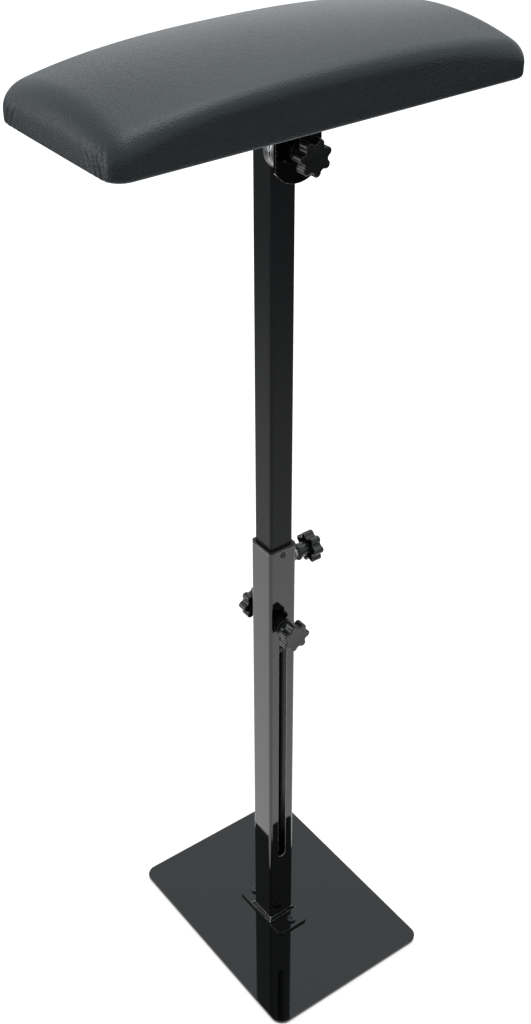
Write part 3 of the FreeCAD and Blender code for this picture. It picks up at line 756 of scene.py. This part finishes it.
def star_radius(angle, inset):
    """Distance from the knob's axis to its outline, drawn in by the inset."""
    pitch = math.pi / LOBES
    centre = KNOB_RADIUS - LOBE_RADIUS
    gap = VALLEY_RADIUS ** 2 + centre ** 2 - 2 * VALLEY_RADIUS * centre * math.cos(pitch)
    span = LOBE_RADIUS + centre * math.cos(pitch) - VALLEY_RADIUS
    hollow = (gap - LOBE_RADIUS ** 2) / (2 * span)
    hollow_centre = VALLEY_RADIUS + hollow
    share = (LOBE_RADIUS - inset) / (LOBE_RADIUS + hollow)
    meet_x = centre + (hollow_centre * math.cos(pitch) - centre) * share
    meet_y = hollow_centre * math.sin(pitch) * share
    off = abs((angle + pitch) % (2 * pitch) - pitch)
    if off <= math.atan2(meet_y, meet_x):
        lobe = LOBE_RADIUS - inset
        return centre * math.cos(off) + math.sqrt(lobe ** 2 - (centre * math.sin(off)) ** 2)
    off = pitch - off
    valley = hollow + inset
    aside = hollow_centre * math.sin(off)
    return hollow_centre * math.cos(off) - math.sqrt(valley ** 2 - aside ** 2)


def rounded_rim(first, last, radius, steps):
    """Insets and heights round one moulded edge, as offsets scaled by its radius."""
    rim = []
    for step in range(steps + 1):
        angle = math.radians(first + (last - first) * step / steps)
        rim.append((radius * math.cos(angle), radius * math.sin(angle)))
    return rim


def knob_profile():
    """Rings from the face's middle, each as (1 if star-shaped, inset or radius, height)."""
    rings = [
        (0, 3.0, KNOB_FACE - FACE_DISH),
        (0, 6.5, KNOB_FACE - FACE_DISH * 0.8),
        (1, 3.2, KNOB_FACE - FACE_DISH * 0.2),
        (1, 1.6, KNOB_FACE),
    ]
    for along, up in rounded_rim(90, 0, FACE_ROUND, 4):
        rings.append((1, FACE_ROUND - along, KNOB_FACE - FACE_ROUND + up))
    # Rings part of the way along a wall keep its facets short.
    rings += [(1, 0, 18.5), (1, 0, 15.5)]
    for along, up in rounded_rim(0, -90, BACK_ROUND, 2):
        rings.append((1, BACK_ROUND - along, KNOB_BACK + BACK_ROUND + up))
    for along, up in rounded_rim(-90, -180, LIP_ROUND, 2):
        rings.append((1, KNOB_WALL - LIP_ROUND - along, KNOB_BACK + LIP_ROUND + up))
    rings += [
        (1, KNOB_WALL, 15.0),
        (1, KNOB_WALL, 18.0),
        (1, KNOB_WALL, HOLLOW_END - 0.6),
        (1, KNOB_WALL + 0.2, HOLLOW_END - 0.15),
        (1, KNOB_WALL + 0.7, HOLLOW_END),
        (0, BOSS_RADIUS + 0.7, HOLLOW_END),
        (0, BOSS_RADIUS + 0.2, HOLLOW_END - 0.2),
        (0, BOSS_RADIUS, HOLLOW_END - 0.7),
        (0, BOSS_RADIUS, 15.0),
        (0, BOSS_RADIUS, KNOB_BACK),
        (0, BOSS_RADIUS, 7.0),
    ]
    for along, up in rounded_rim(0, -90, BOSS_ROUND, 3):
        rings.append((0, BOSS_RADIUS - BOSS_ROUND + along, BOSS_END + BOSS_ROUND + up))
    rings += [
        (0, STUD_HOLE_RADIUS + STUD_HOLE_CHAMFER, BOSS_END),
        (0, STUD_HOLE_RADIUS, BOSS_END + STUD_HOLE_CHAMFER),
        (0, STUD_HOLE_RADIUS, STUD_HOLE_END),
    ]
    return rings


def star_knob(name, turned, seat, body):
    """Lofts the knob's rings and stands it on its seat, turned as given."""
    form = bmesh.new()
    previous = None
    tip = form.verts.new((0, 0, (KNOB_FACE - FACE_DISH) * MM))
    for starry, size, height in knob_profile():
        ring = []
        for step in range(KNOB_STEPS):
            angle = 2 * math.pi * step / KNOB_STEPS
            radius = star_radius(angle, size) if starry else size
            ring.append(form.verts.new((
                radius * math.cos(angle) * MM, radius * math.sin(angle) * MM, height * MM,
            )))
        for index in range(KNOB_STEPS):
            following = (index + 1) % KNOB_STEPS
            if previous:
                form.faces.new((
                    previous[index], ring[index], ring[following], previous[following],
                ))
            else:
                form.faces.new((tip, ring[index], ring[following]))
        previous = ring
    form.faces.new(previous)
    bmesh.ops.recalc_face_normals(form, faces=form.faces)
    mesh = bpy.data.meshes.new(name)
    form.to_mesh(mesh)
    form.free()
    mesh.transform(Matrix.Translation(Vector(seat) * MM) @ turned)
    mesh.shade_smooth()
    mesh.materials.append(moulded_nylon)
    knob = bpy.data.objects.new(name + "_star", mesh)
    bpy.context.scene.collection.objects.link(knob)
    evened = knob.modifiers.new("even light on flats", "WEIGHTED_NORMAL")
    evened.keep_sharp = True
    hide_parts(name)
    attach(knob, body)


moulded_nylon = new_finish("spark-eroded black nylon")
knob_place = add_node(moulded_nylon, "ShaderNodeTexCoord", {}, {}).outputs["Object"]
# The eroded skin's pits are 0.15 mm, drawn as 0.45 mm so that they show.
knob_pits = add_node(moulded_nylon, "ShaderNodeTexNoise", {}, {
    "Vector": knob_place, "Scale": 1 / (0.45 * MM), "Detail": 3.0, "Roughness": 0.6,
})
# The glass fibre brings a cloudy drift to the surface, about 8 mm wide.
knob_drift = add_node(moulded_nylon, "ShaderNodeTexNoise", {}, {
    "Vector": knob_place, "Scale": 1 / (8 * MM), "Detail": 2.0,
})
knob_tone = add_node(moulded_nylon, "ShaderNodeMixRGB", {}, {
    "Fac": knob_drift.outputs["Fac"], "Color1": linear("#1c1d1e"), "Color2": linear("#272829"),
})
knob_gloss = add_node(moulded_nylon, "ShaderNodeMapRange", {}, {
    "Value": knob_drift.outputs["Fac"], "To Min": 0.18, "To Max": 0.3,
})
knob_relief = add_node(moulded_nylon, "ShaderNodeBump", {}, {
    "Height": knob_pits.outputs["Fac"], "Strength": 0.25, "Distance": 0.04 * MM,
})
finish_surface(moulded_nylon, {
    "Base Color": knob_tone.outputs["Color"], "Roughness": knob_gloss.outputs["Result"],
    "Normal": knob_relief.outputs["Normal"], "IOR": 1.53, "Specular IOR Level": 0.33,
})

# Heights are from the floor, and seats from the column's axis.
SLOT_KNOB_HEIGHT = 418.5
SLOT_KNOB_SEAT = 15
CLAMP_HEIGHT = 486.5
CLAMP_SEAT = 26
TILT_HEIGHT = 895
TILT_SEAT = 31.5
TO_FRONT = Matrix.Rotation(math.radians(90), 4, "X")
TO_REAR = Matrix.Rotation(math.radians(-90), 4, "X")
TO_RIGHT = Matrix.Rotation(math.radians(90), 4, "Y")


def clocked(degrees):
    """A turn about the knob's own axis, to where its lobes stand in the photograph."""
    return Matrix.Rotation(math.radians(degrees), 4, "Z")


front_seat = (0, -SLOT_KNOB_SEAT, SLOT_KNOB_HEIGHT)
rear_seat = (0, SLOT_KNOB_SEAT, SLOT_KNOB_HEIGHT)
star_knob("front_knob", TO_FRONT @ clocked(-1), front_seat, "front_knob_body")
star_knob("rear_knob", TO_REAR @ clocked(181), rear_seat, "rear_knob_body")
star_knob("clamp_knob", TO_RIGHT @ clocked(110), (CLAMP_SEAT, 0, CLAMP_HEIGHT), "clamp_knob_body")
star_knob("tilt_knob", TO_FRONT @ clocked(18.4), (0, -TILT_SEAT, TILT_HEIGHT), "tilt_knob_body")

# Captive washers: thin discs moulded in the knobs' black nylon, one under each boss.
# They spread the knob's force and keep its boss from marking the coat.

for washer in ("front_washer", "rear_washer", "clamp_washer", "tilt_washer"):
    dress(washer, moulded_nylon, 0.35)

# Studs: M8 steel rod with a rolled thread, zinc plated, moulded into three of the knobs.
# The tilt knob has a threaded insert instead. A stud shows bare between nut and washer.


def rolled_thread(name, direction):
    """Zinc-plated thread, with its crests 1.25 mm apart along the stud."""
    finish = new_finish(name)
    place = add_node(finish, "ShaderNodeTexCoord", {}, {}).outputs["Object"]
    crests = add_node(finish, "ShaderNodeTexWave", {"bands_direction": direction}, {
        "Vector": place, "Scale": math.pi / (10 * 1.25 * MM), "Distortion": 0.0,
    })
    relief = add_node(finish, "ShaderNodeBump", {}, {
        "Height": crests.outputs["Fac"], "Strength": 1.0, "Distance": 0.25 * MM,
    })
    # The crests are painted lighter and the roots darker, as painted highlight and shade.
    crest_highlight_root_shade = add_node(finish, "ShaderNodeMixRGB", {}, {
        "Fac": crests.outputs["Fac"], "Color1": linear("#a9acb0"), "Color2": linear("#f4f4f0"),
    })
    return finish_surface(finish, {
        "Base Color": crest_highlight_root_shade.outputs["Color"], "Metallic": 0.8, "Roughness": 0.34,
        "Normal": relief.outputs["Normal"],
    })


dress("clamp_stud", rolled_thread("rolled thread across", "X"), 0.3)
thread_along = rolled_thread("rolled thread front to rear", "Y")
dress("front_stud", thread_along, 0.3)
dress("rear_stud", thread_along, 0.3)
dress("tilt_knob_insert", zinc_plate, 0.2)

# Studio: a pale seamless floor, a large soft lamp overhead, one at the rear left and a weak
# one at the rear right. Floor and room show white to the camera, and the shadow stays.

# The floor's and the lamps' sizes and places are in metres.
FLOOR_REACH = 9

floor_paper = new_finish("white seamless paper")
floor_place = add_node(floor_paper, "ShaderNodeTexCoord", {}, {}).outputs["Object"]
paper_fibre = add_node(floor_paper, "ShaderNodeTexNoise", {}, {
    "Vector": floor_place, "Scale": 1 / (4 * MM), "Detail": 2.0,
})
paper_tone = add_node(floor_paper, "ShaderNodeMixRGB", {}, {
    "Fac": paper_fibre.outputs["Fac"], "Color1": linear("#e4e4e4"), "Color2": linear("#e8e8e8"),
})
paper = add_node(floor_paper, "ShaderNodeBsdfDiffuse", {}, {"Color": paper_tone.outputs["Color"]})
paper_reach = add_node(floor_paper, "ShaderNodeVectorMath", {"operation": "LENGTH"}, {
    0: floor_place,
})
paper_rays = add_node(floor_paper, "ShaderNodeLightPath", {}, {})
# The paper is lit less towards its edge, and shows white there all the same.
paper_lift = add_node(floor_paper, "ShaderNodeMapRange", {}, {
    "Value": paper_reach.outputs["Value"], "From Min": 0.4, "From Max": 2.0,
    "To Min": 0.64, "To Max": 0.85,
})
paper_seen = add_node(floor_paper, "ShaderNodeMath", {"operation": "MAXIMUM"}, {
    0: paper_rays.outputs["Is Camera Ray"], 1: paper_rays.outputs["Is Transmission Ray"],
})
paper_glow = add_node(floor_paper, "ShaderNodeMath", {"operation": "MULTIPLY"}, {
    0: paper_seen.outputs["Value"], 1: paper_lift.outputs["Result"],
})
paper_white = add_node(floor_paper, "ShaderNodeEmission", {}, {
    "Color": (1.0, 1.0, 1.0, 1.0), "Strength": paper_glow.outputs["Value"],
})
paper_both = add_node(floor_paper, "ShaderNodeAddShader", {}, {
    0: paper.outputs["BSDF"], 1: paper_white.outputs["Emission"],
})
# In gloss, a painted pool of light ends about a metre from the stand, where the studio is dark.
painted_glow_in_gloss = add_node(floor_paper, "ShaderNodeMapRange", {"interpolation_type": "SMOOTHSTEP"}, {
    "Value": paper_reach.outputs["Value"], "From Min": 0.6, "From Max": 2.0,
    "To Min": 1.5, "To Max": 0.03,
})
painted_light_in_gloss = add_node(floor_paper, "ShaderNodeEmission", {}, {
    "Color": (1.0, 1.0, 1.0, 1.0), "Strength": painted_glow_in_gloss.outputs["Result"],
})
paper_whole = add_node(floor_paper, "ShaderNodeMixShader", {}, {
    0: paper_rays.outputs["Is Glossy Ray"], 1: paper_both.outputs["Shader"],
    2: painted_light_in_gloss.outputs["Emission"],
})
add_node(floor_paper, "ShaderNodeOutputMaterial", {}, {"Surface": paper_whole.outputs["Shader"]})

floor_mesh = bpy.data.meshes.new("floor")
floor_mesh.from_pydata(
    [(-FLOOR_REACH, -FLOOR_REACH, 0), (FLOOR_REACH, -FLOOR_REACH, 0),
     (FLOOR_REACH, FLOOR_REACH, 0), (-FLOOR_REACH, FLOOR_REACH, 0)],
    [], [(0, 1, 2, 3)],
)
floor_mesh.materials.append(floor_paper)
floor = bpy.data.objects.new("floor", floor_mesh)
bpy.context.scene.collection.objects.link(floor)

room = bpy.data.worlds.new("white room")
room.use_nodes = True
room.node_tree.nodes.clear()
# The room lights the stand with a soft grey, looks paler in gloss, and white to the camera.
room_rays = add_node(room, "ShaderNodeLightPath", {}, {})
room_gloss = add_node(room, "ShaderNodeMath", {"operation": "MULTIPLY_ADD"}, {
    0: room_rays.outputs["Is Glossy Ray"], 1: 0.76, 2: 0.34,
})
room_seen = add_node(room, "ShaderNodeMath", {"operation": "MULTIPLY_ADD"}, {
    0: room_rays.outputs["Is Camera Ray"], 1: 0.8, 2: room_gloss.outputs["Value"],
})
room_light = add_node(room, "ShaderNodeBackground", {}, {
    "Color": (0.93, 0.97, 1.0, 1.0), "Strength": room_seen.outputs["Value"],
})
add_node(room, "ShaderNodeOutputWorld", {}, {"Surface": room_light.outputs["Background"]})
bpy.context.scene.world = room


def soft_lamp(name, place, aim, size, power):
    """A square soft box, unseen by the camera itself."""
    lamp = bpy.data.lights.new(name, "AREA")
    lamp.shape = "SQUARE"
    lamp.size = size
    lamp.energy = power
    box = bpy.data.objects.new(name, lamp)
    box.location = place
    box.rotation_mode = "QUATERNION"
    box.rotation_quaternion = (Vector(aim) - Vector(place)).to_track_quat("-Z", "Y")
    box.visible_camera = False
    bpy.context.scene.collection.objects.link(box)


soft_lamp("overhead lamp", (0.4, 0.1, 2.7), (0, 0, 0.6), 1.6, 28)
soft_lamp("left lamp", (-1.9, 1.2, 0.75), (0, 0, 0.85), 1.2, 17)
soft_lamp("rear lamp", (1.6, 2.3, 1.2), (0, 0, 0.7), 1.2, 4)

# Camera: it stands in front and to the left, above the pad, and looks down at the stand.
# Its place, focal length and small shift were fitted to the stand's edges.

PHOTO_WIDTH = 531
PHOTO_HEIGHT = 1024
FOCAL_PIXELS = 1456.98
LENS_AXIS_ACROSS = 280.12
LENS_AXIS_DOWN = 509.64
SENSOR = 36
EYE_ACROSS = -652.53
EYE_DEEP = -873.98
EYE_HIGH = 1300.47

eye = bpy.data.cameras.new("camera")
eye.sensor_width = SENSOR
eye.lens = FOCAL_PIXELS * SENSOR / PHOTO_HEIGHT
eye.shift_x = (PHOTO_WIDTH / 2 - LENS_AXIS_ACROSS) / PHOTO_HEIGHT
eye.shift_y = (LENS_AXIS_DOWN - PHOTO_HEIGHT / 2) / PHOTO_HEIGHT
camera = bpy.data.objects.new("camera", eye)
bpy.context.scene.collection.objects.link(camera)
yaw, pitch, roll = math.radians(-37.05), math.radians(34.68), math.radians(0.23)
back = Vector((
    math.sin(yaw) * math.cos(pitch), -math.cos(yaw) * math.cos(pitch), math.sin(pitch),
))
level_right = Vector((math.cos(yaw), math.sin(yaw), 0))
level_up = back.cross(level_right)
right = math.cos(roll) * level_right + math.sin(roll) * level_up
up = math.cos(roll) * level_up - math.sin(roll) * level_right
camera.matrix_world = Matrix((
    (right.x, up.x, back.x, EYE_ACROSS * MM),
    (right.y, up.y, back.y, EYE_DEEP * MM),
    (right.z, up.z, back.z, EYE_HIGH * MM),
    (0, 0, 0, 1),
))
bpy.context.scene.camera = camera
bpy.context.scene.view_settings.view_transform = "Standard"
